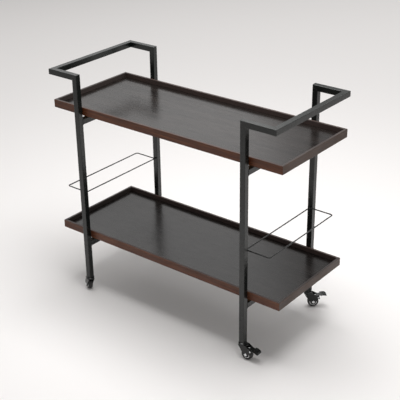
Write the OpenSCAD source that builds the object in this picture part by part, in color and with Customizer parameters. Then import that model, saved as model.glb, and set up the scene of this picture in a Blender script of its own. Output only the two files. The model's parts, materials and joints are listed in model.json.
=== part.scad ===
// Two-tier bar cart on swivel casters.
// A welded frame of square steel tube carries two shallow wooden trays; every caster swivels,
// and the two on the right have a foot brake. Millimetres, +Z up. The origin lies on the floor,
// in the middle of the cart's footprint with the casters turned as they are stored.

/* [Trays] */
// Length of both trays, side to side
tray_length = 914; // [760:1:1150]
// Width of both trays, front to back
tray_width = 351; // [280:1:440]
// Thickness of a rim board
rim_thickness = 8; // [7:0.5:12]
// Depth from the rim's top edge to the tray's floor
tray_depth = 15; // [10:0.5:30]
// Thickness of the floor panel
panel_thickness = 9; // [6:0.1:15]
// Thickness of the tongue round the floor panel's edge
tongue_thickness = 5; // [3:0.1:6]
// How far the rims reach below the floor panel
rim_lip = 3; // [1:0.1:8]
// Depth of the groove in each rim that takes the panel's tongue
groove_depth = 4; // [2:0.5:5]
// Height of the upper tray's rim above the floor
upper_rim_top = 686; // [560:1:740]
// Height of the lower tray's rim above the floor
lower_rim_top = 236; // [190:1:320]

/* [Frame] */
// Height of the handles and of the post tops above the floor
frame_height = 800; // [760:1:1000]
// Outer width of the square tube
tube = 19; // [14:0.1:25]
// Wall of the square tube
tube_wall = 1.5; // [1:0.1:2]
// Radius of the tube's outer corners
tube_corner = 1.6; // [0.8:0.1:2.5]
// Distance from the end of a tray in to the middle of a post
post_inset = 124; // [100:1:180]
// Gap between the side of a tray and the posts
tray_gap = 3; // [2:0.5:12]
// Distance from the end of a tray in to the outer face of a handle
handle_inset = 9.5; // [0:0.5:40]
// Clear height between the underside of a rim and the bar below it
bar_drop = 12.5; // [8:0.5:20]

/* [Battens and screws] */
// Width of the batten that carries a tray on a bar
batten_width = 30; // [20:1:50]
// Distance from the side of a tray in to the end of a batten
batten_inset = 24; // [16:1:60]
// Shank diameter of the tray screws
screw_d = 5; // [4:0.5:5]
// Head diameter of the tray screws
screw_head_d = 9.5; // [8:0.5:11]
// Height of the head of a tray screw
screw_head_h = 3; // [2:0.5:4]
// Depth that a tray screw bites into the batten
screw_bite = 11; // [8:0.5:13]
// Distance from the middle of a tray to its screws, front to back
screw_y = 118; // [60:1:130]

/* [Wire rails] */
// Diameter of the wire
wire_d = 4; // [3:0.5:6]
// Height of the wire rails above the floor
wire_z = 380; // [330:1:500]
// Distance from the middle of a post out to the outer wire
wire_reach = 87; // [60:1:110]
// Radius of the wire's bends, at its middle
wire_bend = 7; // [4:0.5:12]

/* [Casters] */
// Diameter of the wheels
wheel_d = 38; // [32:0.1:50]
// Width of the tyres
wheel_w = 17; // [14:0.1:22]
// Clear height between the tyre and the fork's crown
crown_clearance = 11; // [8:0.5:16]
// Distance from the swivel axis back to the wheel's axle
trail = 18; // [16:0.5:24]
// Diameter of the axle
axle_d = 6; // [5:0.1:7.5]
// Diameter of the wheel hub, under the tyre
hub_d = 25; // [21:0.5:27]
// Diameter of the stem that goes up into the post
stem_d = 8; // [6.5:0.1:9.6]
// Length of the stem above the caster's cup
stem_length = 27; // [20:1:34]
// Diameter of the cup and of the fork's crown
crown_d = 28; // [26:0.5:30]
// Sheet thickness of the fork
fork_sheet = 2; // [1.5:0.1:2.5]
// Height of the cup that the fork turns under
cup_height = 4; // [3:0.5:5]

/* [Brake pedals] */
// Distance from the tyre's tread out to the pedal's pivot
pivot_gap = 5.4; // [5:0.1:8]
// Direction from the axle up to the pedal's pivot
pivot_angle = 45.8; // [40:0.1:50]
// Diameter of the pedal's pivot pin
pin_d = 3.2; // [2.4:0.1:4]
// Width of the foot paddle
paddle_width = 27; // [22:0.5:30]
// Distance from the pivot out to the paddle's tip
paddle_reach = 29; // [26:0.5:36]
// Thickness of the pedal's sheet
pedal_sheet = 1.8; // [1.2:0.1:2.2]
// Angle that a pedal turns through from pressed to released
pedal_travel = 14; // [10:0.5:16]

/* [Stored caster directions] */
// Direction in which the front left wheel trails, seen from above
yaw_front_left = 155; // [0:1:359]
// Direction in which the front right wheel trails, seen from above
yaw_front_right = 0; // [0:1:359]
// Direction in which the back left wheel trails, seen from above
yaw_back_left = 130; // [0:1:359]
// Direction in which the back right wheel trails, seen from above
yaw_back_right = 42; // [0:1:359]

/* [Fits] */
// Radial clearance of a turning pin or shaft in its bore
running = 0.05; // [0.02:0.01:0.1]
// Gap between faces that pass each other
face_gap = 0.3; // [0.2:0.05:0.6]
// Play between pieces that are fixed but not pressed together
loose = 0.1; // [0.05:0.05:0.3]

/* [Hidden] */
$fn = 64;

// Colours
steel_black = [0.09, 0.095, 0.09];
walnut = [0.27, 0.18, 0.13];
panel_black = [0.16, 0.16, 0.155];
raw_pine = [0.62, 0.47, 0.30];
bright_steel = [0.75, 0.76, 0.77];
hub_grey = [0.68, 0.69, 0.69];
rubber_black = [0.05, 0.05, 0.05];
plastic_black = [0.07, 0.07, 0.075];

// Heights of the caster stack under a post
socket_flange = 1.2;
crown_sheet = fork_sheet + 0.5;
crown_bottom = wheel_d + crown_clearance;
crown_top = crown_bottom + crown_sheet;
cup_bottom = crown_top + face_gap;
cup_top = cup_bottom + cup_height;
caster_height = cup_top + socket_flange;

// The frame
post_x = tray_length / 2 - post_inset;
post_y = tray_width / 2 + tray_gap + tube / 2;
handle_x = tray_length / 2 - handle_inset - tube / 2;
top_z = frame_height - tube / 2;
post_face_y = post_y - tube / 2;
reach = 4 * tube;

// The trays
floor_drop = tray_depth + panel_thickness;
rim_height = floor_drop + rim_lip;
groove_height = tongue_thickness + loose;
tongue_edge = rim_thickness - groove_depth + loose;
panel_edge = rim_thickness + loose;
bar_top_drop = rim_height + bar_drop;

// The caster, in its own frame: swivel axis at x = 0, wheel trailing towards +x
axle_z = wheel_d / 2;
half_tyre = wheel_w / 2;
tyre_side_gap = 0.8;
cheek_in = half_tyre + tyre_side_gap;
cheek_out = cheek_in + fork_sheet;
kingpin_d = stem_d - 1;
kingpin_head_h = 1.8;
crown_end = 16;
cheek_front = -11;
lobe_r = 8;
lug_r = 4.5;
rivet_head_h = 2;
pin_head_h = 1.3;

pivot_x = trail + (wheel_d / 2 + pivot_gap) * cos(pivot_angle);
pivot_z = axle_z + (wheel_d / 2 + pivot_gap) * sin(pivot_angle);

// The brake: the shoe stands off the pressed tyre by the face gap
ear_side_gap = 0.6;
ear_out = cheek_in - ear_side_gap;
ear_in = ear_out - pedal_sheet;
ear_r = 4;
shoe_r = 2.2;
shoe_angle = 25;
shoe_stand = wheel_d / 2 + face_gap + shoe_r;
shoe_x = trail + shoe_stand * cos(shoe_angle) - pivot_x;
shoe_z = axle_z + shoe_stand * sin(shoe_angle) - pivot_z;
neck_start = -12;
neck_end = 5;
paddle_start = 8;
paddle_corner = 5;

// Footprint with the casters as stored: its middle is the origin
side_reach = cheek_out + rivet_head_h;
tip_x = pivot_x + paddle_reach;
pedal_reach_y = (tip_x - paddle_corner) * sin(yaw_back_right)
    + (paddle_width / 2 - paddle_corner) * cos(yaw_back_right) + paddle_corner;
footprint_shift = (max(pedal_reach_y, side_reach) - side_reach) / 2;

module in_place() {
    translate([0, -footprint_shift, 0]) children();
}

// Draws a piece made for the back right corner at any corner
module corner(side, depth) {
    in_place()
        mirror([side < 0 ? 1 : 0, 0, 0])
            mirror([0, depth < 0 ? 1 : 0, 0])
                children();
}

// ---- Frame tubes ----

module rounded_square(width, radius) {
    square([width, width - 2 * radius], center = true);
    square([width - 2 * radius, width], center = true);
    for (sx = [-1, 1], sy = [-1, 1])
        translate([sx, sy] * (width / 2 - radius)) circle(radius);
}

module tube_profile() {
    difference() {
        rounded_square(tube, tube_corner);
        square(tube - 2 * tube_wall, center = true);
    }
}

// A block that takes away everything on the +X side of the origin
module half_space() {
    translate([0, -reach, -reach]) cube(2 * reach);
}

module post(side, depth) {
    color(steel_black)
        corner(side, depth)
            translate([post_x, post_y, 0])
                difference() {
                    translate([0, 0, caster_height])
                        linear_extrude(frame_height - caster_height) tube_profile();
                    translate([0, 0, top_z]) rotate([0, -45, 0]) half_space();
                }
}

// Runs from the mitre on the post's top to the mitre on the handle bar
module handle_arm(side, depth) {
    color(steel_black)
        corner(side, depth)
            difference() {
                translate([post_x - tube / 2, post_y, top_z])
                    rotate([0, 90, 0])
                        linear_extrude(handle_x - post_x + tube) tube_profile();
                translate([post_x, post_y, top_z]) rotate([0, 135, 0]) half_space();
                translate([handle_x, post_y, top_z]) rotate([0, 0, -45]) half_space();
            }
}

module handle_bar(side) {
    color(steel_black)
        corner(side, 1)
            difference() {
                translate([handle_x, post_y + tube / 2, top_z])
                    rotate([90, 0, 0])
                        linear_extrude(2 * post_y + tube) tube_profile();
                for (depth = [-1, 1])
                    translate([handle_x, depth * post_y, top_z])
                        rotate([0, 0, depth * 135]) half_space();
            }
}

module cross_bar(side, rim_top) {
    color(steel_black)
        corner(side, 1)
            translate([post_x, 0, rim_top - bar_top_drop - tube / 2])
                difference() {
                    translate([0, post_face_y, 0])
                        rotate([90, 0, 0])
                            linear_extrude(2 * post_face_y) tube_profile();
                    for (depth = [-1, 1])
                        translate([0, depth * screw_y, -tube])
                            cylinder(h = 2 * tube, d = screw_d + 4 * loose);
                }
}

// ---- Wire rails: one closed loop, welded to the inner faces of two posts ----

module wire_bend_piece() {
    rotate_extrude(angle = 90) translate([wire_bend, 0]) circle(d = wire_d);
}

module wire_rail(side) {
    loop_y = post_face_y - wire_d / 2;
    straight_x = wire_reach - 2 * wire_bend;
    straight_y = 2 * (loop_y - wire_bend);
    color(steel_black)
        corner(side, 1)
            translate([post_x + wire_reach / 2, 0, wire_z]) {
                for (sy = [-1, 1])
                    translate([-straight_x / 2, sy * loop_y, 0])
                        rotate([0, 90, 0]) cylinder(h = straight_x, d = wire_d);
                for (sx = [-1, 1])
                    translate([sx * wire_reach / 2, straight_y / 2, 0])
                        rotate([90, 0, 0]) cylinder(h = straight_y, d = wire_d);
                for (quarter = [0 : 3])
                    translate([(quarter == 0 || quarter == 3 ? 1 : -1) * straight_x / 2,
                               (quarter < 2 ? 1 : -1) * straight_y / 2, 0])
                        rotate([0, 0, 90 * quarter]) wire_bend_piece();
            }
}

// ---- Trays ----

// A rim board of a tray side that is `length` long and `out` from the middle, along X
module rim_board(length, out, rim_top) {
    translate([0, 0, rim_top - rim_height])
        difference() {
            linear_extrude(rim_height)
                polygon([[-length / 2, -out], [length / 2, -out],
                         [length / 2 - rim_thickness, rim_thickness - out],
                         [rim_thickness - length / 2, rim_thickness - out]]);
            translate([-length / 2, rim_thickness - groove_depth - out,
                       rim_height - floor_drop])
                cube([length, 2 * groove_depth, groove_height]);
        }
}

module long_rim(depth, rim_top) {
    color(walnut)
        in_place()
            rotate([0, 0, depth < 0 ? 0 : 180])
                rim_board(tray_length, tray_width / 2, rim_top);
}

module end_rim(side, rim_top) {
    color(walnut)
        in_place()
            rotate([0, 0, side < 0 ? -90 : 90])
                rim_board(tray_width, tray_length / 2, rim_top);
}

module centred_slab(length, width, thickness) {
    translate([-length / 2, -width / 2, 0]) cube([length, width, thickness]);
}

// Floor panel with a tongue round its lower edge
module tray_floor(rim_top) {
    color(panel_black)
        in_place()
            translate([0, 0, rim_top - floor_drop]) {
                centred_slab(tray_length - 2 * panel_edge, tray_width - 2 * panel_edge,
                             panel_thickness);
                centred_slab(tray_length - 2 * tongue_edge, tray_width - 2 * tongue_edge,
                             tongue_thickness);
            }
}

module tray_battens(rim_top) {
    batten_height = bar_top_drop - floor_drop;
    color(raw_pine)
        for (side = [-1, 1])
            corner(side, 1)
                translate([post_x, 0, rim_top - bar_top_drop])
                    difference() {
                        translate([-batten_width / 2, batten_inset - tray_width / 2, 0])
                            cube([batten_width, tray_width - 2 * batten_inset, batten_height]);
                        for (depth = [-1, 1])
                            translate([0, depth * screw_y, -1])
                                cylinder(h = screw_bite + 2, d = screw_d + 2 * loose);
                    }
}

// Pan-head screw with its head at z = 0 and its shank going up
module tray_screw() {
    cylinder(h = tube + screw_bite, d = screw_d);
    difference() {
        intersection() {
            translate([0, 0, -screw_head_h]) cylinder(h = screw_head_h, d = screw_head_d);
            translate([0, 0, screw_head_d - screw_head_h]) sphere(screw_head_d);
        }
        for (turn = [0, 90])
            rotate([0, 0, turn])
                translate([0, 0, -screw_head_h])
                    cube([screw_head_d * 0.5, 1.2, 3], center = true);
    }
}

module tray_screws() {
    color(bright_steel)
        for (rim_top = [lower_rim_top, upper_rim_top], side = [-1, 1], depth = [-1, 1])
            in_place()
                translate([side * post_x, depth * screw_y, rim_top - bar_top_drop - tube])
                    tray_screw();
}

// ---- Casters ----

yaws = [[-1, -1, yaw_front_left], [1, -1, yaw_front_right],
        [-1, 1, yaw_back_left], [1, 1, yaw_back_right]];

// Puts a caster piece under its post, turned to its stored direction
module under_post(which) {
    in_place()
        translate([yaws[which][0] * post_x, yaws[which][1] * post_y, 0])
            rotate([0, 0, yaws[which][2]]) children();
}
front_left = 0;
front_right = 1;
back_left = 2;
back_right = 3;

// Plug in the bottom of a post, with the bore that grips the stem
module stem_socket() {
    difference() {
        union() {
            translate([0, 0, caster_height])
                linear_extrude(stem_length + 3)
                    square(tube - 2 * tube_wall - 2 * loose, center = true);
            translate([0, 0, cup_top])
                linear_extrude(socket_flange) rounded_square(tube, tube_corner);
        }
        translate([0, 0, cup_top - 1]) cylinder(h = stem_length + 6, d = stem_d + 2 * running);
    }
}

module stem_sockets() {
    color(plastic_black)
        for (side = [-1, 1], depth = [-1, 1])
            corner(side, depth) translate([post_x, post_y, 0]) stem_socket();
}

// Stem, cup and the kingpin that the fork turns on, one turned and riveted piece
module caster_stem(which) {
    cup_r = crown_d / 2;
    color(steel_black)
        under_post(which)
            rotate_extrude()
                polygon([[0, crown_bottom - face_gap - kingpin_head_h],
                         [kingpin_d / 2 + 0.8, crown_bottom - face_gap - kingpin_head_h],
                         [kingpin_d / 2 + 1.6, crown_bottom - face_gap - 1],
                         [kingpin_d / 2 + 1.6, crown_bottom - face_gap],
                         [kingpin_d / 2, crown_bottom - face_gap],
                         [kingpin_d / 2, cup_bottom],
                         [cup_r, cup_bottom],
                         [cup_r, cup_bottom + 0.45 * cup_height],
                         [0.72 * cup_r, cup_top],
                         [stem_d / 2, cup_top],
                         [stem_d / 2, cup_top + stem_length - 1],
                         [stem_d / 2 - 1, cup_top + stem_length],
                         [0, cup_top + stem_length]]);
}

function on_lobe(angle) = [trail + lobe_r * cos(angle), axle_z + lobe_r * sin(angle)];
function on_lug(angle) = [pivot_x + lug_r * cos(angle), pivot_z + lug_r * sin(angle)];

// Side view of a fork cheek: from the crown down to the axle, with a lug for a pedal
module cheek_outline(braked) {
    polygon(concat([[cheek_front + 2, crown_top], [cheek_front, crown_bottom - 2]],
                   [on_lobe(205), on_lobe(-35)],
                   braked ? [on_lug(-70), on_lug(50)] : [],
                   [[crown_end, crown_top]]));
    translate([trail, axle_z]) circle(lobe_r);
    if (braked) translate([pivot_x, pivot_z]) circle(lug_r);
}

// Extrudes a side view drawn in x and z across the caster, `half` to each side
module across(half) {
    translate([0, half, 0]) rotate([90, 0, 0]) linear_extrude(2 * half) children();
}

module fork(which, braked) {
    color(steel_black)
        under_post(which)
            difference() {
                union() {
                    difference() {
                        across(cheek_out) cheek_outline(braked);
                        translate([-reach, -cheek_in, crown_bottom - 2 * reach])
                            cube([2 * reach, 2 * cheek_in, 2 * reach]);
                        translate([crown_end, -cheek_in, 0])
                            cube([reach, 2 * cheek_in, 2 * reach]);
                    }
                    translate([0, 0, crown_bottom]) cylinder(h = crown_sheet, d = crown_d);
                }
                translate([0, 0, crown_bottom - 1])
                    cylinder(h = crown_sheet + 2, d = kingpin_d + 2 * running);
                across(2 * cheek_out) translate([trail, axle_z]) circle(d = axle_d);
                if (braked) across(2 * cheek_out) translate([pivot_x, pivot_z]) circle(d = pin_d);
            }
}

// Riveted pin across the fork: shank with a domed head at both ends
module riveted_pin(x, z, diameter, head_d, head_h) {
    translate([x, 0, z])
        for (end = [0, 180])
            rotate([end + 90, 0, 0]) {
                cylinder(h = cheek_out, d = diameter);
                translate([0, 0, cheek_out])
                    intersection() {
                        cylinder(h = head_h, d = head_d);
                        translate([0, 0, head_h - head_d]) sphere(head_d);
                    }
            }
}

module axle(which) {
    color(bright_steel)
        under_post(which) riveted_pin(trail, axle_z, axle_d, 1.6 * axle_d, rivet_head_h);
}

// Hub with a boss round the axle, a recessed face and a raised bright ring
module wheel_hub(which) {
    bore_r = axle_d / 2 + running;
    ring_r = hub_d / 2;
    color(hub_grey)
        under_post(which)
            translate([trail, 0, axle_z])
                rotate([90, 0, 0])
                    rotate_extrude()
                        polygon([for (end = [1, -1])
                                 each (end == 1
                                     ? [[bore_r, cheek_in - face_gap],
                                        [bore_r + 2.4, cheek_in - face_gap],
                                        [bore_r + 2.4, half_tyre - 2],
                                        [ring_r - 2.2, half_tyre - 2],
                                        [ring_r - 1.8, half_tyre - 0.3],
                                        [ring_r, half_tyre - 0.3]]
                                     : [[ring_r, 0.3 - half_tyre],
                                        [ring_r - 1.8, 0.3 - half_tyre],
                                        [ring_r - 2.2, 2 - half_tyre],
                                        [bore_r + 2.4, 2 - half_tyre],
                                        [bore_r + 2.4, face_gap - cheek_in],
                                        [bore_r, face_gap - cheek_in]])]);
}

module tyre(which) {
    shoulder = 2.5;
    inner_r = hub_d / 2;
    outer_r = wheel_d / 2;
    color(rubber_black)
        under_post(which)
            translate([trail, 0, axle_z])
                rotate([90, 0, 0])
                    rotate_extrude() {
                        translate([inner_r, -half_tyre])
                            square([outer_r - inner_r - shoulder, wheel_w]);
                        translate([inner_r, shoulder - half_tyre])
                            square([outer_r - inner_r, wheel_w - 2 * shoulder]);
                        for (end = [-1, 1])
                            translate([outer_r - shoulder, end * (half_tyre - shoulder)])
                                circle(shoulder);
                    }
}

// ---- Brakes, in the pressed position round a pivot at x = 0, z = 0 ----

// Puts a brake piece on its pivot, raised by the given angle
module on_pivot(which, raised) {
    under_post(which)
        translate([pivot_x, 0, pivot_z]) rotate([0, -raised, 0]) children();
}

// Side view of the bent sheet: flat neck between the cheeks, then the foot paddle
module pedal_strip() {
    top = [[neck_start, 7.6], [neck_end, 6.6], [paddle_start, 7.4],
           [paddle_reach - 13, 6.6], [paddle_reach - 5, 4], [paddle_reach, 0.4]];
    polygon(concat(top, [for (i = [len(top) - 1 : -1 : 0]) top[i] - [0, pedal_sheet]]));
}

module pedal_plan() {
    translate([neck_start, -ear_out]) square([paddle_start - neck_start + 4, 2 * ear_out]);
    translate([paddle_start, -paddle_width / 2])
        square([paddle_reach - paddle_start - paddle_corner, paddle_width]);
    translate([paddle_start, paddle_corner - paddle_width / 2])
        square([paddle_reach - paddle_start, paddle_width - 2 * paddle_corner]);
    for (side = [-1, 1])
        translate([paddle_reach - paddle_corner, side * (paddle_width / 2 - paddle_corner)])
            circle(paddle_corner);
}

module pedal_ear_outline() {
    hull() {
        circle(ear_r);
        translate([-9, ear_r + 1]) square([14, 0.8]);
    }
}

module brake_pedal(which, raised) {
    color(steel_black)
        on_pivot(which, raised)
            difference() {
                union() {
                    intersection() {
                        across(paddle_width) pedal_strip();
                        translate([0, 0, -reach / 2]) linear_extrude(reach) pedal_plan();
                    }
                    difference() {
                        across(ear_out) pedal_ear_outline();
                        translate([-reach, -ear_in, ear_r + 1.6 - 2 * reach])
                            cube([2 * reach, 2 * ear_in, 2 * reach]);
                    }
                }
                across(paddle_width) circle(d = pin_d + 2 * running);
            }
}

// Moulded shoe between the pedal's ears; its nose bears on the tyre when the pedal is down
module brake_shoe(which, raised) {
    color(plastic_black)
        on_pivot(which, raised)
            difference() {
                across(ear_in - loose)
                    hull() {
                        circle(3.2);
                        translate([shoe_x, shoe_z]) circle(shoe_r);
                    }
                across(ear_out) circle(d = pin_d + 2 * running);
            }
}

module pedal_pin(which) {
    color(bright_steel)
        under_post(which) riveted_pin(pivot_x, pivot_z, pin_d, 1.8 * pin_d, pin_head_h);
}

// ---- The pieces ----

post(-1, -1);  // post_front_left
post(1, -1);  // post_front_right
post(-1, 1);  // post_back_left
post(1, 1);  // post_back_right
handle_arm(-1, -1);  // handle_arm_front_left
handle_arm(1, -1);  // handle_arm_front_right
handle_arm(-1, 1);  // handle_arm_back_left
handle_arm(1, 1);  // handle_arm_back_right
handle_bar(-1);  // handle_bar_left
handle_bar(1);  // handle_bar_right
cross_bar(-1, upper_rim_top);  // cross_bar_upper_left
cross_bar(1, upper_rim_top);  // cross_bar_upper_right
cross_bar(-1, lower_rim_top);  // cross_bar_lower_left
cross_bar(1, lower_rim_top);  // cross_bar_lower_right
wire_rail(-1);  // wire_rail_left
wire_rail(1);  // wire_rail_right
tray_floor(upper_rim_top);  // upper_tray_floor
long_rim(-1, upper_rim_top);  // upper_rim_front
long_rim(1, upper_rim_top);  // upper_rim_back
end_rim(-1, upper_rim_top);  // upper_rim_left
end_rim(1, upper_rim_top);  // upper_rim_right
tray_battens(upper_rim_top);  // upper_tray_battens
tray_floor(lower_rim_top);  // lower_tray_floor
long_rim(-1, lower_rim_top);  // lower_rim_front
long_rim(1, lower_rim_top);  // lower_rim_back
end_rim(-1, lower_rim_top);  // lower_rim_left
end_rim(1, lower_rim_top);  // lower_rim_right
tray_battens(lower_rim_top);  // lower_tray_battens
tray_screws();
stem_sockets();
caster_stem(front_left);  // caster_stem_front_left
caster_stem(front_right);  // caster_stem_front_right
caster_stem(back_left);  // caster_stem_back_left
caster_stem(back_right);  // caster_stem_back_right
fork(front_left, false);  // fork_front_left
fork(front_right, true);  // fork_front_right
fork(back_left, false);  // fork_back_left
fork(back_right, true);  // fork_back_right
axle(front_left);  // axle_front_left
axle(front_right);  // axle_front_right
axle(back_left);  // axle_back_left
axle(back_right);  // axle_back_right
wheel_hub(front_left);  // wheel_hub_front_left
wheel_hub(front_right);  // wheel_hub_front_right
wheel_hub(back_left);  // wheel_hub_back_left
wheel_hub(back_right);  // wheel_hub_back_right
tyre(front_left);  // tyre_front_left
tyre(front_right);  // tyre_front_right
tyre(back_left);  // tyre_back_left
tyre(back_right);  // tyre_back_right
brake_pedal(front_right, 0);  // brake_pedal_front_right
brake_pedal(back_right, pedal_travel);  // brake_pedal_back_right
brake_shoe(front_right, 0);  // brake_shoe_front_right
brake_shoe(back_right, pedal_travel);  // brake_shoe_back_right
pedal_pin(front_right);  // pedal_pin_front_right
pedal_pin(back_right);  // pedal_pin_back_right
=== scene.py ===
import json
import math

import bmesh
import bpy
from mathutils import Matrix, Vector


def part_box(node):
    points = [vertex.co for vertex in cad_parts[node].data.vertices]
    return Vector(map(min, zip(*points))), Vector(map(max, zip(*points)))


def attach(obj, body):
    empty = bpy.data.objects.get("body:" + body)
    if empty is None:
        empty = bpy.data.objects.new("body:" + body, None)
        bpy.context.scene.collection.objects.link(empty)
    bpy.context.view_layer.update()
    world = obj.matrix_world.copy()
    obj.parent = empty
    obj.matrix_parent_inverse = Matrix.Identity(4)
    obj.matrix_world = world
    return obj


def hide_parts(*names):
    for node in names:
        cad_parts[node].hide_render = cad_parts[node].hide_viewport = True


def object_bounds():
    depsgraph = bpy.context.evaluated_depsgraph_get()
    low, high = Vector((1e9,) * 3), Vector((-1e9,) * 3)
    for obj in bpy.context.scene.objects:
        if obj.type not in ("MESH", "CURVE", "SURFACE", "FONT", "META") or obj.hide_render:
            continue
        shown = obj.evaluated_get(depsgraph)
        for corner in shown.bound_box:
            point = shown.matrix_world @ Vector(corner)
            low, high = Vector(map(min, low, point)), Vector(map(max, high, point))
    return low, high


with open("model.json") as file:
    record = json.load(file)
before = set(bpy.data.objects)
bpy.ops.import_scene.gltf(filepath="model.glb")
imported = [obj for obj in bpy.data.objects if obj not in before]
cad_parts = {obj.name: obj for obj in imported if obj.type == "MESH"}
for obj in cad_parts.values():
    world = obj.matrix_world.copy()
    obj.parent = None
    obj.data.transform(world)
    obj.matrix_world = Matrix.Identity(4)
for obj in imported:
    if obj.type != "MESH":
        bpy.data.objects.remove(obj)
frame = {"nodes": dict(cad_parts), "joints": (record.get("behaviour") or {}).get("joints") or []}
cad_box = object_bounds()
nodes = frame["nodes"]
joints = {joint["name"]: joint for joint in frame["joints"]}


# ---- Welded frame ----
# Four posts, four short arms and two handle bars of square steel tube, with a cross bar under
# each tray at both ends. The tubes are mitred and welded, ground flush at the mitres, and the
# whole frame is powder coated in one go: a satin black with a faint orange peel.

class Finish:
    """A surface finish, built up node by node round one principled shader."""

    def __init__(self, name, colour=None, roughness=0.5, specular=0.5, metallic=0.0, own=False):
        self.material = bpy.data.materials.new(name)
        self.material.use_nodes = True
        self.tree = self.material.node_tree
        self.shader = self.tree.nodes["Principled BSDF"]
        self.shader.inputs["Roughness"].default_value = roughness
        self.shader.inputs["Specular IOR Level"].default_value = specular
        self.shader.inputs["Metallic"].default_value = metallic
        if colour:
            self.shader.inputs["Base Color"].default_value = (*colour, 1)
        if own:
            self.where = self.node("ShaderNodeAttribute", attribute_name="own_place").outputs["Vector"]
        else:
            self.where = self.node("ShaderNodeTexCoord").outputs["Object"]

    def plug(self, socket, value):
        if isinstance(value, bpy.types.NodeSocket):
            self.tree.links.new(value, socket)
        else:
            socket.default_value = value

    def node(self, kind, inputs=None, **settings):
        made = self.tree.nodes.new(kind)
        for name, value in settings.items():
            setattr(made, name, value)
        for name, value in (inputs or {}).items():
            self.plug(made.inputs[name], value)
        return made

    def stretched(self, scale, offset=(0, 0, 0)):
        """Object coordinates, scaled for each axis so that a pattern runs along one of them."""
        return self.node("ShaderNodeMapping", {"Vector": self.where, "Scale": scale,
                                               "Location": offset}).outputs[0]

    def noise(self, scale, detail=3.0, vector=None, rough=0.5, distortion=0.0):
        return self.node("ShaderNodeTexNoise", {
            "Vector": vector or self.where, "Scale": scale, "Detail": detail,
            "Roughness": rough, "Distortion": distortion}).outputs["Fac"]

    def between(self, value, low, high, from_low=0.0, from_high=1.0):
        """Maps a value smoothly from one range to another."""
        return self.node("ShaderNodeMapRange", {
            "Value": value, "From Min": from_low, "From Max": from_high,
            "To Min": low, "To Max": high}, interpolation_type="SMOOTHSTEP").outputs[0]

    def blend(self, share, first, second):
        made = self.node("ShaderNodeMix", data_type="RGBA")
        self.plug(made.inputs[0], share)
        for socket, colour in ((made.inputs[6], first), (made.inputs[7], second)):
            self.plug(socket, (*colour, 1) if isinstance(colour, tuple) else colour)
        return made.outputs[2]

    def mottled(self, scale, dark, light, detail=3.0, low=0.3, high=0.7):
        """A colour that drifts between two tones."""
        return self.blend(self.between(self.noise(scale, detail), 0, 1, low, high), dark, light)

    def maths(self, operation, first, second=0.0):
        made = self.node("ShaderNodeMath", operation=operation)
        self.plug(made.inputs[0], first)
        self.plug(made.inputs[1], second)
        return made.outputs[0]

    def rounded_edges(self, start=0.1, full=0.25):
        """1 on the round corners of a piece whose flats lie along the axes, 0 on the flats."""
        normal = self.node("ShaderNodeTexCoord").outputs["Normal"]
        parts = self.node("ShaderNodeSeparateXYZ", {"Vector": normal}).outputs
        sizes = [self.maths("ABSOLUTE", part) for part in parts]
        largest = self.maths("MAXIMUM", self.maths("MAXIMUM", sizes[0], sizes[1]), sizes[2])
        return self.between(self.maths("SUBTRACT", 1.0, largest), 0.0, 1.0, start, full)

    def worn_edges(self, scale, low=0.42, high=0.62):
        """1 where a softened edge has rubbed through, broken up by noise."""
        edge = self.node("ShaderNodeAttribute", attribute_name="worn").outputs["Fac"]
        return self.maths("MULTIPLY", edge, self.between(self.noise(scale, 4.0), 0, 1, low, high))

    def colour(self, value):
        self.plug(self.shader.inputs["Base Color"], value)

    def roughness(self, value):
        self.plug(self.shader.inputs["Roughness"], value)

    def uneven_sheen(self, scale, low, high, detail=3.0):
        """Roughness that drifts between two values."""
        self.roughness(self.between(self.noise(scale, detail), low, high, 0.3, 0.7))

    def bump(self, height, distance, strength=1.0):
        """Stacks another layer of relief on the shader's normal."""
        normal = self.shader.inputs["Normal"]
        made = self.node("ShaderNodeBump", {"Height": height, "Distance": distance,
                                            "Strength": strength})
        if normal.is_linked:
            self.tree.links.new(normal.links[0].from_socket, made.inputs["Normal"])
        self.tree.links.new(made.outputs["Normal"], normal)


def coat(node_name, finish):
    """Gives a CAD piece its finish."""
    for entry in nodes[node_name].material_slots:
        entry.material = finish.material


powder_coat = Finish("satin_black_powder_coat")
coat_tone = powder_coat.mottled(9.0, (0.0030, 0.0042, 0.0036), (0.0062, 0.0078, 0.0070), 4.0)
# The rounded corners of the tubes get a lighter grey in patches: a painted highlight along the tube
# edges.
painted_edge_highlight = powder_coat.maths("MULTIPLY", powder_coat.rounded_edges(0.12, 0.26),
                           powder_coat.between(powder_coat.noise(60.0, 5.0), 0, 1, 0.48, 0.66))
edge_highlight_tone = (0.030, 0.033, 0.031)
powder_coat.colour(powder_coat.blend(painted_edge_highlight, coat_tone, edge_highlight_tone))
powder_coat.roughness(powder_coat.between(powder_coat.noise(28.0, 5.0), 0.20, 0.32, 0.25, 0.75))
powder_coat.bump(powder_coat.noise(620.0, 2.0), 0.00012, 0.35)
powder_coat.bump(powder_coat.noise(60.0, 2.0), 0.0004, 0.12)

for node_name in nodes:
    if node_name.startswith(("post_", "handle_", "cross_bar_")):
        coat(node_name, powder_coat)


# ---- Weld seams ----
# Each cross bar butts against the inner faces of two posts and is welded all round. The bead is
# a row of small overlapping ripples, painted over with the rest of the frame.

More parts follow.
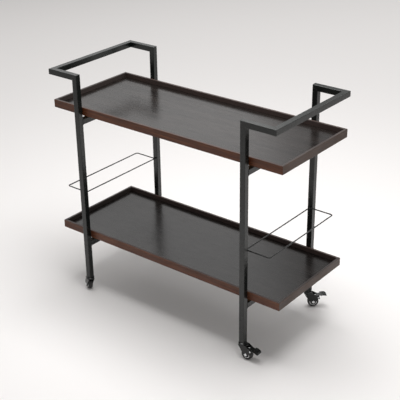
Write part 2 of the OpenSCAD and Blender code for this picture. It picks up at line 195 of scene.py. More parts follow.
class Recipe:
    """A geometry node tree with named inputs, which makes pieces that repeat."""

    def __init__(self, name, **inputs):
        self.tree = bpy.data.node_groups.new(name, "GeometryNodeTree")
        face = self.tree.interface
        face.new_socket("Geometry", in_out="INPUT", socket_type="NodeSocketGeometry")
        for label, kind in inputs.items():
            face.new_socket(label, in_out="INPUT", socket_type="NodeSocket" + kind)
        face.new_socket("Geometry", in_out="OUTPUT", socket_type="NodeSocketGeometry")
        self.given = self.tree.nodes.new("NodeGroupInput").outputs
        self.result = self.tree.nodes.new("NodeGroupOutput").inputs[0]

    def add(self, kind, inputs=None, **settings):
        made = self.tree.nodes.new(kind)
        for name, value in settings.items():
            setattr(made, name, value)
        for name, value in (inputs or {}).items():
            socket = made.inputs[name]
            if isinstance(value, bpy.types.NodeSocket):
                self.tree.links.new(value, socket)
            else:
                socket.default_value = value
        return made.outputs

    def finish(self, instances):
        """Makes the instances real and gives them the material that was asked for."""
        real = self.add("GeometryNodeRealizeInstances", {"Geometry": instances})[0]
        painted = self.add("GeometryNodeSetMaterial", {"Geometry": real,
                                                       "Material": self.given["Material"]})[0]
        self.tree.links.new(painted, self.result)


def grown(name, recipe, start, **values):
    """Runs a recipe on a starting mesh and returns the result as a plain mesh object."""
    seed_object = bpy.data.objects.new(name + "_start", start)
    bpy.context.collection.objects.link(seed_object)
    modifier = seed_object.modifiers.new("recipe", "NODES")
    modifier.node_group = recipe.tree
    for item in recipe.tree.interface.items_tree:
        if item.in_out == "INPUT" and item.name in values:
            modifier[item.identifier] = values[item.name]
    solved = seed_object.evaluated_get(bpy.context.evaluated_depsgraph_get())
    mesh = bpy.data.meshes.new_from_object(solved)
    bpy.data.objects.remove(seed_object)
    return shown(name, mesh)


def shown(name, mesh):
    """A new object at the origin that shows a mesh."""
    mesh.name = name
    made = bpy.data.objects.new(name, mesh)
    bpy.context.collection.objects.link(made)
    return made


def settle(piece, body, slot, *stands_for):
    """Says which body a piece moves with and hides the CAD pieces it stands for; the slot argument is
    not used.
    """
    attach(piece, body)
    if stands_for:
        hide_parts(*stands_for)


def line_mesh(name, loops):
    """Closed loops of points as a mesh of edges."""
    mesh = bpy.data.meshes.new(name)
    points = []
    edges = []
    for loop in loops:
        first = len(points)
        count = len(loop)
        points += loop
        edges += [(first + i, first + (i + 1) % count) for i in range(count)]
    mesh.from_pydata([tuple(p) for p in points], edges, [])
    return mesh


weld_recipe = Recipe("weld_bead", Spacing="Float", Width="Float", Seed="Int", Material="Material")
path = weld_recipe.add("GeometryNodeMeshToCurve", {"Mesh": weld_recipe.given["Geometry"]})[0]
steps = weld_recipe.add("GeometryNodeCurveToPoints", {
    "Curve": path, "Length": weld_recipe.given["Spacing"]}, mode="LENGTH")
ripple = weld_recipe.add("GeometryNodeMeshIcoSphere", {
    "Radius": weld_recipe.given["Width"], "Subdivisions": 2})[0]
ripple = weld_recipe.add("GeometryNodeSetShadeSmooth", {"Geometry": ripple})[0]
squeeze = weld_recipe.add("FunctionNodeRandomValue", {
    "Min": (0.85, 0.85, 0.85), "Max": (1.1, 1.1, 1.1), "Seed": weld_recipe.given["Seed"]},
    data_type="FLOAT_VECTOR")[0]
beads = weld_recipe.add("GeometryNodeInstanceOnPoints", {
    "Points": steps["Points"], "Instance": ripple, "Rotation": steps["Rotation"],
    "Scale": squeeze})[0]
weld_recipe.finish(beads)

bead_width = 0.0013
bead_spacing = 0.0011
weld_loops = []
for node_name in nodes:
    if node_name.startswith("cross_bar_"):
        low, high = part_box(node_name)
        for y in (low[1], high[1]):
            weld_loops.append([Vector((x, y, z)) for x, z in (
                (low[0], low[2]), (high[0], low[2]), (high[0], high[2]), (low[0], high[2]))])
frame_welds = grown("cross_bar_welds", weld_recipe, line_mesh("weld_paths", weld_loops),
                    Spacing=bead_spacing, Width=bead_width, Seed=4,
                    Material=powder_coat.material)
settle(frame_welds, "frame", "frame_steel")


# ---- Mitre seams ----
# The corners of the handles are mitred and welded, then dressed flush. A faint raised line of
# dressed weld still shows through the powder coat all round each corner.

def seam(corner, along_one, along_two, sunk=0.00025):
    """Loop round a square tube's mitre; the two tubes' middle lines meet at the corner."""
    across_both = along_one.cross(along_two).normalized()
    diagonal = along_one + along_two
    half = tube_width / 2 - sunk
    loop = []
    for side, rise in ((1, 1), (1, -1), (-1, -1), (-1, 1)):
        for angle in corner_angles[::-side * rise]:
            trim_side = tube_rounding * (1 - math.cos(math.radians(angle)))
            trim_rise = tube_rounding * (1 - math.sin(math.radians(angle)))
            loop.append(corner + diagonal * side * (half - trim_side)
                        + across_both * rise * (half - trim_rise))
    return loop


tube_rounding = 0.0016
corner_angles = (0, 22.5, 45, 67.5, 90)
post_low, post_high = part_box("post_front_left")
tube_width = post_high[0] - post_low[0]
seams = []
for side, outward in (("left", -1), ("right", 1)):
    bar_low, bar_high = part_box(f"handle_bar_{side}")
    bar_x = (bar_low[0] + bar_high[0]) / 2
    bar_z = (bar_low[2] + bar_high[2]) / 2
    for depth, back in (("front", -1), ("back", 1)):
        post_low, post_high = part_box(f"post_{depth}_{side}")
        post_x = (post_low[0] + post_high[0]) / 2
        post_y = (post_low[1] + post_high[1]) / 2
        to_bar = Vector((outward, 0, 0))
        seams.append(seam(Vector((bar_x, post_y, bar_z)), to_bar, Vector((0, back, 0))))
        seams.append(seam(Vector((post_x, post_y, bar_z)), to_bar, Vector((0, 0, -1))))
seam_spacing = 0.0007
seam_width = 0.0005
mitre_seams = grown("mitre_seams", weld_recipe, line_mesh("seam_paths", seams),
                    Spacing=seam_spacing, Width=seam_width, Seed=2,
                    Material=powder_coat.material)
settle(mitre_seams, "frame", "frame_steel")


# ---- Wire rails ----
# One closed loop of 4 mm rod at each end, bent with small radii and tack welded to the inner
# faces of the posts, so that bottles can stand behind it. Coated with the frame.

rail_coat = Finish("black_coated_wire")
rail_coat.colour(rail_coat.mottled(30.0, (0.004, 0.005, 0.0045), (0.009, 0.010, 0.0095), 4.0, 0.35))
rail_coat.uneven_sheen(70.0, 0.22, 0.34)
rail_coat.bump(rail_coat.noise(700.0, 2.0), 0.0001, 0.3)
tack_loops = []
tack_start = 0.001
tack_end = 0.006
tack_off_middle = 0.0014
for side in ("left", "right"):
    coat(f"wire_rail_{side}", rail_coat)
    low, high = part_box(f"wire_rail_{side}")
    rail_z = (low[2] + high[2]) / 2
    for depth, y in (("front", low[1]), ("back", high[1])):
        post_low, post_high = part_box(f"post_{depth}_{side}")
        post_x = (post_low[0] + post_high[0]) / 2
        outward = 1 if side == "right" else -1
        for rise in (-1, 1):
            z = rail_z + rise * tack_off_middle
            tack_loops.append([Vector((post_x + outward * tack_start, y, z)),
                               Vector((post_x + outward * tack_end, y, z))])
tack_welds = grown("wire_rail_tacks", weld_recipe, line_mesh("tack_paths", tack_loops),
                   Spacing=bead_spacing, Width=bead_width, Seed=9,
                   Material=powder_coat.material)
settle(tack_welds, "frame", "frame_steel")


# ---- Tray rims ----
# Eight boards of fibreboard wrapped in dark walnut veneer, mitred at the corners, grooved for
# the floor panel and glued. The veneer's grain runs along each board, the edges are softened
# and the lacquer is satin.

def softened(node_name, name, radius, steps=3, sharp_above=28, origin=Matrix.Identity(4)):
    """A copy of a CAD piece with its sharp edges rounded over and marked as worn."""
    shape = bmesh.new()
    shape.from_mesh(nodes[node_name].data)
    bmesh.ops.remove_doubles(shape, verts=shape.verts, dist=2e-6)
    bmesh.ops.dissolve_limit(shape, angle_limit=math.radians(0.6), verts=shape.verts,
                             edges=shape.edges)
    sharp = [edge for edge in shape.edges
             if edge.is_manifold and edge.calc_face_angle(0) > math.radians(sharp_above)]
    rounded = set(bmesh.ops.bevel(shape, geom=sharp, offset=radius, segments=steps,
                                  profile=0.5, affect="EDGES")["faces"])
    worn = shape.verts.layers.float.new("worn")
    for vert in shape.verts:
        vert[worn] = float(all(face in rounded for face in vert.link_faces))
    return finished(name, shape, origin)


def finished(name, shape, origin):
    """Closes a bmesh up as a smooth mesh object and notes each point's place on the piece."""
    own = shape.verts.layers.float_vector.new("own_place")
    back = origin.inverted()
    for vert in shape.verts:
        vert[own] = back @ vert.co
    mesh = bpy.data.meshes.new(name)
    shape.to_mesh(mesh)
    shape.free()
    mesh.shade_smooth()
    mesh.set_sharp_from_angle(angle=math.radians(50))
    piece = shown(name, mesh)
    weighted = piece.modifiers.new("flat faces stay flat", "WEIGHTED_NORMAL")
    weighted.keep_sharp = True
    weighted.weight = 90
    solved = piece.evaluated_get(bpy.context.evaluated_depsgraph_get())
    plain = bpy.data.meshes.new_from_object(solved)
    piece.modifiers.clear()
    piece.data = plain
    plain.name = name
    return piece


def inside_tray(finish):
    """1 on the inner and top faces of the rims, which are stained black like the floor."""
    low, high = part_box("upper_tray_floor")
    place = finish.node("ShaderNodeSeparateXYZ", {"Vector": finish.where}).outputs
    mask = None
    for axis in (0, 1):
        off_middle = finish.maths("ABSOLUTE", finish.maths("SUBTRACT", place[axis],
                                                           (low[axis] + high[axis]) / 2))
        outer_face = outer_half[axis]
        within = finish.between(off_middle, 1, 0, outer_face - 0.0012, outer_face - 0.0003)
        mask = within if mask is None else finish.maths("MULTIPLY", mask, within)
    return mask


def walnut(name, along, seed, light, dark):
    """Dark walnut veneer whose grain runs along x or y, between two tones."""
    def grain(length, width):
        """Scale of a pattern that is drawn out along the board; sizes in metres."""
        return (1 / length, 1 / width, 1 / width) if along == "x" \
            else (1 / width, 1 / length, 1 / width)
    wood = Finish(name, specular=0.34)
    place = (seed * 1.7, seed * 0.9, seed * 2.3)
    figure = wood.noise(1.0, 5.0, wood.stretched(grain(0.16, 0.0052), place), 0.6, 0.5)
    fibre = wood.noise(1.0, 4.0, wood.stretched(grain(0.045, 0.0011), place), 0.6)
    pores = wood.noise(1.0, 2.0, wood.stretched(grain(0.012, 0.00045), place), 0.5)
    tone = wood.blend(wood.between(figure, 0, 1, 0.30, 0.72), dark, light)
    tone = wood.blend(wood.between(fibre, 0.0, 0.75, 0.42, 0.75), tone, fibre_tone)
    open_pore = wood.between(pores, 0.0, 0.8, 0.60, 0.72)
    tone = wood.blend(open_pore, tone, pore_tone)
    # The softened edges get a lighter tone in patches: a painted highlight along the board edges.
    edge = wood.maths("MULTIPLY", wood.rounded_edges(0.1, 0.25),
                      wood.between(wood.noise(45.0, 4.0), 0.25, 1.0, 0.42, 0.66))
    tone = wood.blend(wood.maths("MULTIPLY", inside_tray(wood), 0.8), tone, black_stain)
    wood.colour(wood.blend(edge, tone, wood_edge_highlight))
    wood.roughness(wood.between(wood.noise(14.0, 4.0), 0.34, 0.5, 0.25, 0.75))
    wood.bump(fibre, 0.00010, 0.5)
    wood.bump(open_pore, -0.00008, 0.6)
    return wood


rim_radius = 0.0007
fibre_tone, pore_tone = (0.022, 0.0080, 0.0050), (0.010, 0.0045, 0.0035)
# The second of these tones is the painted highlight on the board edges.
black_stain, wood_edge_highlight = (0.046, 0.0385, 0.0370), (0.110, 0.082, 0.068)
outer_low, outer_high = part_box("upper_rim_front")
side_low, side_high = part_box("upper_rim_left")
outer_half = ((outer_high[0] - outer_low[0]) / 2, (side_high[1] - side_low[1]) / 2)
long_light, long_dark = (0.140, 0.0440, 0.0150), (0.062, 0.0175, 0.0065)
# The end boards get a darker, greyer copy of the same walnut: painted shade on the ends.
painted_shade_end_light, painted_shade_end_dark = (0.078, 0.0390, 0.0230), (0.034, 0.0170, 0.0100)
rim_finish = {
    "front": walnut("walnut_front_boards", "x", 1, long_light, long_dark),
    "left": walnut("walnut_left_boards_painted_shade", "y", 2, painted_shade_end_light, painted_shade_end_dark),
    "back": walnut("walnut_back_boards", "x", 3, long_light, long_dark),
    "right": walnut("walnut_right_boards_painted_shade", "y", 4, painted_shade_end_light, painted_shade_end_dark)}
for tray in ("upper", "lower"):
    for side, finish in rim_finish.items():
        board = softened(f"{tray}_rim_{side}", f"{tray}_{side}_board", rim_radius)
        board.data.materials.append(finish.material)
        settle(board, "frame", "rim_wood", f"{tray}_rim_{side}")


# ---- Tray floors ----
# A veneered panel in each tray, stained black so that the grain still shows, under a satin
# lacquer that mirrors the rims softly. The grain runs the length of the tray.

floor_panel = Finish("black_stained_panel", specular=0.44)
long_grain = floor_panel.noise(1.0, 5.0, floor_panel.stretched((1 / 0.30, 1 / 0.016, 1)), 0.55, 0.5)
fine_grain = floor_panel.noise(1.0, 4.0, floor_panel.stretched((1 / 0.05, 1 / 0.0012, 1)), 0.6)
stain = floor_panel.blend(floor_panel.between(long_grain, 0, 1, 0.3, 0.7),
                          (0.0060, 0.0042, 0.0036), (0.0165, 0.0125, 0.0110))
stain = floor_panel.blend(floor_panel.between(fine_grain, 0, 0.6, 0.45, 0.75), stain,
                          (0.0040, 0.0028, 0.0024))
floor_panel.colour(stain)
floor_panel.roughness(floor_panel.between(fine_grain, 0.19, 0.29, 0.3, 0.7))
floor_panel.bump(fine_grain, 0.00006, 0.5)
floor_panel.bump(floor_panel.noise(11.0, 2.0), 0.0008, 0.10)
for tray in ("upper", "lower"):
    coat(f"{tray}_tray_floor", floor_panel)


# ---- Battens ----
# Four strips of plain sawn pine between the trays and the cross bars. They lift each tray
# clear of its bars and give the screws something to bite into.

raw_pine = Finish("raw_sawn_pine", specular=0.25)
rings = raw_pine.noise(1.0, 4.0, raw_pine.stretched((1 / 0.006, 1 / 0.15, 1 / 0.006)), 0.5, 0.8)
saw_marks = raw_pine.noise(1.0, 3.0, raw_pine.stretched((1 / 0.02, 1 / 0.0016, 1 / 0.02)), 0.6)
raw_pine.colour(raw_pine.blend(raw_pine.between(rings, 0, 1, 0.35, 0.7),
                               (0.50, 0.34, 0.19), (0.30, 0.175, 0.085)))
raw_pine.roughness(raw_pine.between(saw_marks, 0.6, 0.8, 0.3, 0.7))
raw_pine.bump(saw_marks, 0.0003, 0.6)
for tray in ("upper", "lower"):
    coat(f"{tray}_tray_battens", raw_pine)


# ---- Tray screws ----
# Eight zinc-plated pan-head screws, driven up through the cross bars into the battens. The
# head is a low dome with a cross recess.

zinc = Finish("bright_zinc_plate", metallic=1.0)
zinc.colour(zinc.mottled(220.0, (0.50, 0.51, 0.53), (0.72, 0.72, 0.72)))
zinc.uneven_sheen(500.0, 0.20, 0.38)
zinc.bump(zinc.noise(900.0, 2.0), 0.00005, 0.3)

screw_recipe = Recipe("pan_head_screw", **{
    "Shank radius": "Float", "Shank length": "Float", "Head radius": "Float",
    "Head height": "Float", "Recess width": "Float", "Material": "Material"})
given = screw_recipe.given
shank = screw_recipe.add("GeometryNodeMeshCylinder", {
    "Vertices": 24, "Radius": given["Shank radius"], "Depth": given["Shank length"]})[0]
half_shank = screw_recipe.add("ShaderNodeMath", {0: given["Shank length"], 1: 0.5},
                              operation="MULTIPLY")[0]
shank_place = screw_recipe.add("ShaderNodeCombineXYZ", {"Z": half_shank})[0]
shank = screw_recipe.add("GeometryNodeTransform", {"Geometry": shank,
                                                   "Translation": shank_place})[0]
dome = screw_recipe.add("GeometryNodeMeshUVSphere", {"Segments": 32, "Rings": 16,
                                                     "Radius": given["Head radius"]})[0]
flatten = screw_recipe.add("ShaderNodeMath", {0: given["Head height"], 1: given["Head radius"]},
                           operation="DIVIDE")[0]
dome_scale = screw_recipe.add("ShaderNodeCombineXYZ", {"X": 1.0, "Y": 1.0, "Z": flatten})[0]
dome = screw_recipe.add("GeometryNodeTransform", {"Geometry": dome, "Scale": dome_scale})[0]
slot_length = screw_recipe.add("ShaderNodeMath", {0: given["Head radius"], 1: 1.1},
                               operation="MULTIPLY")[0]
slot_size = screw_recipe.add("ShaderNodeCombineXYZ", {
    "X": slot_length, "Y": given["Recess width"], "Z": given["Head height"]})[0]
cutter = screw_recipe.add("GeometryNodeMeshCube", {"Size": slot_size})[0]
slot_drop = screw_recipe.add("ShaderNodeMath", {0: given["Head height"], 1: -1.0},
                             operation="MULTIPLY")[0]
slot_place = screw_recipe.add("ShaderNodeCombineXYZ", {"Z": slot_drop})[0]
for turn in (0.0, math.pi / 2):
    blade = screw_recipe.add("GeometryNodeTransform", {
        "Geometry": cutter, "Translation": slot_place, "Rotation": (0.0, 0.0, turn)})[0]
    dome = screw_recipe.add("GeometryNodeMeshBoolean", {"Mesh 1": dome, "Mesh 2": blade},
                            operation="DIFFERENCE", solver="EXACT")[0]
whole = screw_recipe.add("GeometryNodeMeshBoolean", operation="UNION", solver="EXACT")
for part in (shank, dome):
    screw_recipe.tree.links.new(part, whole["Mesh"].node.inputs["Mesh 2"])
screws = screw_recipe.add("GeometryNodeInstanceOnPoints", {
    "Points": given["Geometry"], "Instance": whole["Mesh"]})[0]
screw_recipe.finish(screws)

screw_low, screw_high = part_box("tray_screws")
shank_radius = 0.0025
head_radius = 0.00475
head_height = 0.003
recess_width = 0.0011
screw_points = bpy.data.meshes.new("screw_points")
seats = []
for node_name in nodes:
    if node_name.startswith("cross_bar_"):
        low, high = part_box(node_name)
        for y in (screw_low[1] + head_radius, screw_high[1] - head_radius):
            seats.append(((low[0] + high[0]) / 2, y, low[2]))
screw_points.from_pydata(seats, [], [])
upper_seat = max(seat[2] for seat in seats)
tray_screws = grown("tray_screw_set", screw_recipe, screw_points, **{
    "Shank radius": shank_radius, "Shank length": screw_high[2] - upper_seat,
    "Head radius": head_radius, "Head height": head_height, "Recess width": recess_width,
    "Material": zinc.material})
settle(tray_screws, "frame", "zinc_steel", "tray_screws")


# ---- Stem sockets ----
# A black nylon plug in the foot of each post, with a thin flange that hides the cut end of the
# tube. The caster's stem is pushed up into it.

nylon = Finish("black_nylon", specular=0.45, own=True)
nylon_tone = nylon.mottled(90.0, (0.008, 0.008, 0.0085), (0.016, 0.016, 0.017))
nylon.colour(nylon.blend(nylon.worn_edges(300.0), nylon_tone, (0.045, 0.045, 0.046)))
nylon.uneven_sheen(240.0, 0.32, 0.5)
nylon.bump(nylon.noise(1400.0, 2.0), 0.00005, 0.4)
sockets = softened("stem_sockets", "stem_socket_plugs", 0.0003, 2)
sockets.data.materials.append(nylon.material)
settle(sockets, "frame", "black_plastic", "stem_sockets")


# ---- Caster stems ----
# A turned steel stem with a pressed cup, riveted through the fork's crown so that the fork can
# turn under it. Painted gloss black like the fork.

def caster_frame(corner):
    """A caster's own frame: the swivel axis is z, the floor z = 0, the wheel trails along x."""
    pin = Vector(joints[f"swivel_{corner}"]["pos_m"])
    wheel = Vector(joints[f"roll_{corner}"]["pos_m"])
    ahead = Vector((wheel.x - pin.x, wheel.y - pin.y, 0)).normalized()
    aside = Vector((-ahead.y, ahead.x, 0))
    turned_to = Matrix((ahead, aside, Vector((0, 0, 1)))).transposed().to_4x4()
    return Matrix.Translation((pin.x, pin.y, 0)) @ turned_to


def eased(profile, steps=5):
    """A closed profile of (radius, height, rounding), with its corners rounded."""
    outline = []
    count = len(profile)
    for i, (r, z, ease) in enumerate(profile):
        here = Vector((r, z))
        before = Vector(profile[i - 1][:2]) - here
        after = Vector(profile[(i + 1) % count][:2]) - here
        if not ease or r == 0:
            outline.append(here)
            continue
        reach = min(ease, 0.49 * before.length, 0.49 * after.length)
        start = here + before.normalized() * reach
        end = here + after.normalized() * reach
        for step in range(steps + 1):
            t = step / steps
            outline.append(start * (1 - t) ** 2 + here * 2 * t * (1 - t) + end * t ** 2)
    return outline


def turned(name, profile, place, steps=72):
    """A piece turned on a lathe about its own z axis, then put in place; profile in millimetres."""
    outline = [(p.x / 1000, p.y / 1000) for p in eased(profile)]
    shape = bmesh.new()
    rings = []
    for r, z in outline:
        if r < 1e-7:
            rings.append([shape.verts.new((0, 0, z))] * steps)
        else:
            rings.append([shape.verts.new((r * math.cos(2 * math.pi * k / steps),
                                           r * math.sin(2 * math.pi * k / steps), z))
                          for k in range(steps)])
    for one, two in zip(rings, rings[1:] + rings[:1]):
        for k in range(steps):
            quad = [one[k], one[(k + 1) % steps], two[(k + 1) % steps], two[k]]
            face = list(dict.fromkeys(quad))
            if len(face) > 2:
                shape.faces.new(face)
    bmesh.ops.recalc_face_normals(shape, faces=shape.faces)
    shape.transform(place)
    return finished(name, shape, place)


gloss_black = Finish("gloss_black_paint", own=True)
gloss_tone = gloss_black.mottled(80.0, (0.0045, 0.0050, 0.0050), (0.0085, 0.0095, 0.0095))
gloss_black.colour(gloss_black.blend(gloss_black.worn_edges(260.0, 0.5, 0.68), gloss_tone,
                                     (0.10, 0.105, 0.105)))
gloss_black.uneven_sheen(320.0, 0.13, 0.26)
gloss_black.bump(gloss_black.noise(420.0, 2.0), 0.00009, 0.25)

corners = ["front_left", "front_right", "back_left", "back_right"]
rivet_bottom = 46.9
rivet_top = 48.7
rivet_radius = 5.1
kingpin_radius = 3.5
cup_bottom = 51.8
cup_top = 55.8
cup_radius = 14
stem_radius = 4
stem_top = 82.8
stem_profile = [
    (0, rivet_bottom, 0), (rivet_radius - 0.8, rivet_bottom, 0.6),
    (rivet_radius, rivet_bottom + 0.8, 0.4), (rivet_radius, rivet_top, 0.2),
    (kingpin_radius, rivet_top, 0), (kingpin_radius, cup_bottom, 0),
    (cup_radius - 1.4, cup_bottom, 0.2), (cup_radius, cup_bottom, 0.5),
    (cup_radius, cup_bottom + 1.9, 0.9), (10.1, cup_top, 1.2), (stem_radius, cup_top, 0.3),
    (stem_radius, stem_top - 1, 0.3), (stem_radius - 1, stem_top, 0.3), (0, stem_top, 0)]
for corner in corners:
    stem = turned(f"stem_and_cup_{corner}", stem_profile, caster_frame(corner))
    stem.data.materials.append(gloss_black.material)
    settle(stem, "frame", "fork_steel", f"caster_stem_{corner}")


# ---- Caster forks ----
# Bent from one piece of steel sheet: a round crown and two cheeks down to the axle. The right
# hand pair have lugs for a brake pedal. Edges tumbled, painted gloss black.

sheet_rounding = 0.0004
bends_above = 32
for corner in corners:
    fork = softened(f"fork_{corner}", f"bent_fork_{corner}", sheet_rounding, 3, bends_above,
                    caster_frame(corner))
    fork.data.materials.append(gloss_black.material)
    settle(fork, f"caster_{corner}", "fork_steel", f"fork_{corner}")


# ---- Axles ----
# A zinc-plated steel pin through the fork and the wheel, riveted over into a low dome at both
# ends, with the tool's small ring mark in the middle.

def across_caster(corner, x, z):
    """Frame of a pin that crosses a caster: its own z axis lies along the caster's y axis."""
    return (caster_frame(corner) @ Matrix.Translation((x / 1000, 0, z / 1000))
            @ Matrix.Rotation(math.pi / 2, 4, "X"))


def both_faces(half):
    """A whole profile from the half above z = 0, mirrored below it."""
    return half + [(r, -z, ease) for r, z, ease in reversed(half)]


def riveted_pin(name, place, radius, head_radius, head_height, cheek=11.3):
    """A pin with a domed head at each end, outside the fork's cheeks; sizes in millimetres."""
    end = cheek + head_height
    half = [(0, end - 0.25, 0), (0.28 * head_radius, end - 0.25, 0.1),
            (0.36 * head_radius, end, 0.2), (0.62 * head_radius, end - 0.16 * head_height, 0.8),
            (0.9 * head_radius, end - 0.55 * head_height, 0.8), (head_radius, cheek, 0.12),
            (radius, cheek, 0)]
    return turned(name, both_faces(half), place, 64)


bright_zinc = Finish("bright_zinc_pins", metallic=1.0, own=True)
bright_zinc.colour(bright_zinc.mottled(500.0, (0.70, 0.72, 0.74), (0.90, 0.91, 0.91)))
bright_zinc.uneven_sheen(900.0, 0.14, 0.30)
bright_zinc.bump(bright_zinc.noise(1500.0, 2.0), 0.00004, 0.3)
braked_pin = Vector(joints["swivel_front_right"]["pos_m"])
braked_axle = Vector(joints["roll_front_right"]["pos_m"])
axle_z = braked_axle.z * 1000
trail = (braked_axle - braked_pin).xy.length * 1000
axle_radius = 3
axle_head_radius = 4.8
axle_head_height = 2
for corner in corners:
    axle = riveted_pin(f"riveted_axle_{corner}", across_caster(corner, trail, axle_z),
                       axle_radius, axle_head_radius, axle_head_height)
    axle.data.materials.append(bright_zinc.material)
    settle(axle, f"caster_{corner}", "zinc_steel", f"axle_{corner}")


# ---- Wheel hubs ----
# Moulded black plastic with six ribs in the recess of each face, and a bright plated ring that
# is snapped in round the rim of each face.

hub_black = Finish("moulded_black_hub", own=True)
hub_black.colour(hub_black.mottled(150.0, (0.010, 0.010, 0.0105), (0.020, 0.020, 0.021)))
hub_black.uneven_sheen(300.0, 0.22, 0.4)
hub_black.bump(hub_black.noise(1300.0, 2.0), 0.00005, 0.4)
ring_plate = Finish("plated_hub_ring", metallic=1.0, own=True)
ring_plate.colour(ring_plate.mottled(400.0, (0.74, 0.76, 0.77), (0.92, 0.92, 0.92)))
ring_plate.uneven_sheen(700.0, 0.12, 0.28)
ring_plate.bump(ring_plate.noise(1200.0, 2.0), 0.00004, 0.3)

rib_recipe = Recipe("hub_ribs", **{"Count": "Int", "Middle radius": "Float",
                                   "Size": "Vector", "Material": "Material"})
rib_circle = rib_recipe.add("GeometryNodeMeshCircle", {
    "Vertices": rib_recipe.given["Count"], "Radius": rib_recipe.given["Middle radius"]})[0]
rib_bar = rib_recipe.add("GeometryNodeMeshCube", {"Size": rib_recipe.given["Size"]})[0]
outward_turn = rib_recipe.add("FunctionNodeAlignRotationToVector", {
    "Vector": rib_recipe.add("GeometryNodeInputPosition")[0]}, axis="X")[0]
rib_recipe.finish(rib_recipe.add("GeometryNodeInstanceOnPoints", {
    "Points": rib_circle, "Instance": rib_bar, "Rotation": outward_turn})[0])

bore_radius = 3.05
boss_half = 9
recess_face = 6.5
rim_face = 7.6
hub_radius = 12.5
hub_half = [(bore_radius, boss_half, 0), (5.45, boss_half, 0.3), (5.6, recess_face, 0.3),
            (10.3, recess_face, 0.4), (10.6, rim_face, 0.2), (hub_radius, rim_face, 0)]
rib_count = 6
rib_middle = 0.0079
rib_size = (0.0052, 0.0011, 0.0150)
for corner in corners:
    place = across_caster(corner, trail, axle_z)
    hub = turned(f"moulded_hub_{corner}", both_faces(hub_half), place)
    hub.data.materials.append(hub_black.material)
    settle(hub, f"wheel_{corner}", "hub_plastic", f"wheel_hub_{corner}")
    for face, side in (("outer", 1), ("inner", -1)):
        ring = turned(f"{face}_hub_ring_{corner}", [
            (10.4, side * 7.5, 0), (10.4, side * 7.9, 0.2), (11.4, side * 8.35, 0.5),
            (12.45, side * 7.9, 0.2), (12.45, side * 7.5, 0)], place)
        ring.data.materials.append(ring_plate.material)
        settle(ring, f"wheel_{corner}", "hub_plastic")
    ribs = grown(f"hub_ribs_{corner}", rib_recipe, line_mesh("rib_start", []), **{
        "Count": rib_count, "Middle radius": rib_middle, "Size": rib_size,
        "Material": hub_black.material})
    ribs.data.transform(place)
    settle(ribs, f"wheel_{corner}", "hub_plastic")


# ---- Tyres ----
# Black rubber, moulded on the hub, with rounded shoulders, a fine line round the middle where
# the mould parts and a shallow step beside the hub. The tread is scuffed a little greyer.

rubber = Finish("black_tyre_rubber", own=True)
across = rubber.node("ShaderNodeSeparateXYZ", {"Vector": rubber.where}).outputs
from_axle = rubber.maths("SQRT", rubber.maths("ADD", rubber.maths("MULTIPLY", across[0], across[0]),
                                              rubber.maths("MULTIPLY", across[1], across[1])))
tread = rubber.between(from_axle, 0, 1, 0.0176, 0.0190)
scuff = rubber.maths("MULTIPLY", tread, rubber.between(rubber.noise(210.0, 5.0), 0.1, 1, 0.4, 0.65))
rubber.colour(rubber.blend(scuff, (0.0075, 0.0075, 0.0080), (0.030, 0.029, 0.028)))
rubber.roughness(rubber.maths("ADD", rubber.between(rubber.noise(300.0, 3.0), 0.22, 0.34, 0.3, 0.7),
                              rubber.maths("MULTIPLY", scuff, 0.2)))
rubber.bump(rubber.noise(1100.0, 3.0), 0.00008, 0.4)
tyre_radius = 19.0
tyre_face = 8.5
tyre_half = [(hub_radius, 8.3, 0.1), (13.2, 8.3, 0.2), (13.6, tyre_face, 0.3),
             (16.8, tyre_face, 2.6), (tyre_radius, 6.1, 2.2), (tyre_radius, 0.35, 0.1),
             (18.85, 0.12, 0.1)]
for corner in corners:
    tyre = turned(f"moulded_tyre_{corner}", both_faces(tyre_half),
                  across_caster(corner, trail, axle_z), 96)
    tyre.data.materials.append(rubber.material)
    settle(tyre, f"wheel_{corner}", "tyre_rubber", f"tyre_{corner}")


# ---- Brake pedals ----
# A pedal of bent steel sheet on each right hand caster, painted like the fork, with pressed
# ribs across the foot plate for grip and a rivet near its neck.

def pedal_frame(corner):
    """A pedal's own frame, with its pivot at the origin and the foot plate along x."""
    joint = joints[f"brake_{corner}"]
    raised = -min(joint["range_deg"])
    pivot = caster_frame(corner).inverted() @ Vector(joint["pos_m"])
    return (caster_frame(corner) @ Matrix.Translation(pivot)
            @ Matrix.Rotation(math.radians(-raised), 4, "Y"))


grip_recipe = Recipe("grip_ribs", Length="Float", Radius="Float", Material="Material")
grip_bar = grip_recipe.add("GeometryNodeMeshCylinder", {
    "Vertices": 20, "Radius": grip_recipe.given["Radius"], "Depth": grip_recipe.given["Length"]})[0]
grip_bar = grip_recipe.add("GeometryNodeTransform", {"Geometry": grip_bar,
                                                     "Rotation": (math.pi / 2, 0.0, 0.0)})[0]
grip_bar = grip_recipe.add("GeometryNodeSetShadeSmooth", {"Geometry": grip_bar})[0]
grip_recipe.finish(grip_recipe.add("GeometryNodeInstanceOnPoints", {
    "Points": grip_recipe.given["Geometry"], "Instance": grip_bar})[0])

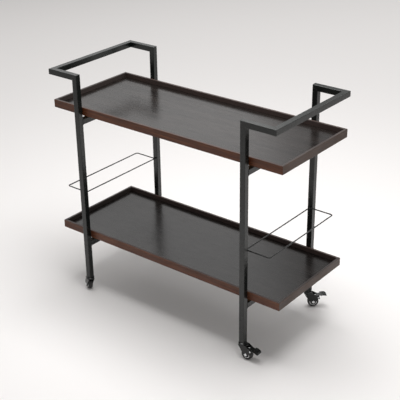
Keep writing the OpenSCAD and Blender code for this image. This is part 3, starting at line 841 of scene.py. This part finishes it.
braked = ["front_right", "back_right"]
grip_length = 0.017
grip_radius = 0.0006
grip_places = [(11.5, 6.95), (14.5, 6.65), (17.5, 6.0), (20.5, 5.05)]
rivet_place = (-0.0090, 0, 0.00743)
rivet_lean = 0.059
rivet_profile = [(0, -2.4, 0), (1.4, -2.4, 0), (1.4, 0, 0), (2.7, 0, 0.15), (2.45, 0.65, 0.5),
                 (1.4, 1.15, 0.6), (0, 1.3, 0)]
for corner in braked:
    place = pedal_frame(corner)
    pedal = softened(f"brake_pedal_{corner}", f"bent_pedal_{corner}", sheet_rounding, 3,
                     bends_above, place)
    pedal.data.materials.append(gloss_black.material)
    settle(pedal, f"pedal_{corner}", "fork_steel", f"brake_pedal_{corner}")

    rib_line = bpy.data.meshes.new("rib_line")
    rib_line.from_pydata([(x / 1000, 0, z / 1000) for x, z in grip_places], [], [])
    grip = grown(f"grip_ribs_{corner}", grip_recipe, rib_line, Length=grip_length,
                 Radius=grip_radius, Material=gloss_black.material)
    grip.data.transform(place)
    settle(grip, f"pedal_{corner}", "fork_steel")

    rivet_frame = (place @ Matrix.Translation(rivet_place)
                   @ Matrix.Rotation(rivet_lean, 4, "Y"))
    rivet = turned(f"pedal_rivet_{corner}", rivet_profile, rivet_frame, 48)
    rivet.data.materials.append(bright_zinc.material)
    settle(rivet, f"pedal_{corner}", "zinc_steel")


# ---- Brake shoes ----
# A moulded black block between the pedal's ears. Its nose is pushed against the tyre when the
# pedal is down.

for corner in braked:
    shoe = softened(f"brake_shoe_{corner}", f"moulded_shoe_{corner}", sheet_rounding, 3,
                    bends_above, pedal_frame(corner))
    shoe.data.materials.append(nylon.material)
    settle(shoe, f"pedal_{corner}", "black_plastic", f"brake_shoe_{corner}")


# ---- Pedal pins ----
# The zinc-plated pin that each pedal turns on, riveted over outside both lugs of the fork.

pin_radius = 1.6
pin_head_radius = 2.9
pin_head_height = 1.3
for corner in braked:
    pivot = caster_frame(corner).inverted() @ Vector(joints[f"brake_{corner}"]["pos_m"])
    pin = riveted_pin(f"riveted_pedal_pin_{corner}",
                      across_caster(corner, pivot.x * 1000, pivot.z * 1000),
                      pin_radius, pin_head_radius, pin_head_height)
    pin.data.materials.append(bright_zinc.material)
    settle(pin, f"caster_{corner}", "zinc_steel", f"pedal_pin_{corner}")


# ---- Studio ----
# A wide pale floor, a white sky and three soft boxes, as for a catalogue shot: one over the
# cart, one behind it on the left that glances off trays and handles, one for the floor behind.

floor_mesh = bpy.data.meshes.new("studio_floor")
half_floor = 9.0
floor_mesh.from_pydata([(-half_floor, -half_floor, 0), (half_floor, -half_floor, 0),
                        (half_floor, half_floor, 0), (-half_floor, half_floor, 0)], [],
                       [(0, 1, 2, 3)])
studio_floor = shown("studio_floor", floor_mesh)
pale = Finish("pale_studio_floor", (0.86, 0.84, 0.83), 0.75, 0.2)
floor_mesh.materials.append(pale.material)

sky = bpy.data.worlds.new("studio_sky")
bpy.context.scene.world = sky
sky.use_nodes = True
sky.node_tree.nodes["Background"].inputs["Color"].default_value = (1.0, 0.99, 0.98, 1)
sky.node_tree.nodes["Background"].inputs["Strength"].default_value = 0.45


def soft_box(name, place, aim, width, height, power):
    """A flat rectangular lamp that faces its aim; power in watts."""
    lamp = bpy.data.lights.new(name, "AREA")
    lamp.shape = "RECTANGLE"
    lamp.size = width
    lamp.size_y = height
    lamp.energy = power
    holder = bpy.data.objects.new(name, lamp)
    bpy.context.collection.objects.link(holder)
    holder.location = place
    holder.rotation_euler = (Vector(aim) - Vector(place)).to_track_quat("-Z", "Y").to_euler()


middle = Vector(((cad_box[0][0] + cad_box[1][0]) / 2, (cad_box[0][1] + cad_box[1][1]) / 2, 0.4))
soft_box("overhead_box", (0.2, 0.05, 2.2), (0.2, 0.05, 0), 1.7, 1.3, 44)
soft_box("back_left_box", (-3.1, 1.9, 3.05), middle, 4.2, 2.4, 30)
soft_box("backdrop_box", (0.2, 4.2, 3.6), (-0.6, 4.4, 0), 3.0, 2.0, 45)


# ---- Camera ----
# Stands in front of the right-hand end and looks down on the upper tray through a long lens.

camera_azimuth = math.radians(38.8)
camera_elevation = math.radians(26.11)
camera_roll = math.radians(-0.82)
camera_distance = 3.1975
frame_low, frame_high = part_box("handle_bar_right")
aim = Vector((0.01732, (frame_low[1] + frame_high[1]) / 2, 0.3841))
lens = bpy.data.cameras.new("camera")
lens.sensor_width = 36.0
lens.lens = 86.94
lens.clip_end = 60.0
camera = bpy.data.objects.new("camera", lens)
bpy.context.collection.objects.link(camera)
backward = Vector((math.sin(camera_azimuth) * math.cos(camera_elevation),
                   -math.cos(camera_azimuth) * math.cos(camera_elevation),
                   math.sin(camera_elevation)))
level = Vector((math.cos(camera_azimuth), math.sin(camera_azimuth), 0))
upward = backward.cross(level)
right = level * math.cos(camera_roll) + upward * math.sin(camera_roll)
upward = backward.cross(right)
turn = Matrix((right, upward, backward)).transposed().to_4x4()
camera.matrix_world = Matrix.Translation(aim + backward * camera_distance) @ turn
bpy.context.scene.camera = camera
bpy.context.scene.view_settings.view_transform = "Standard"
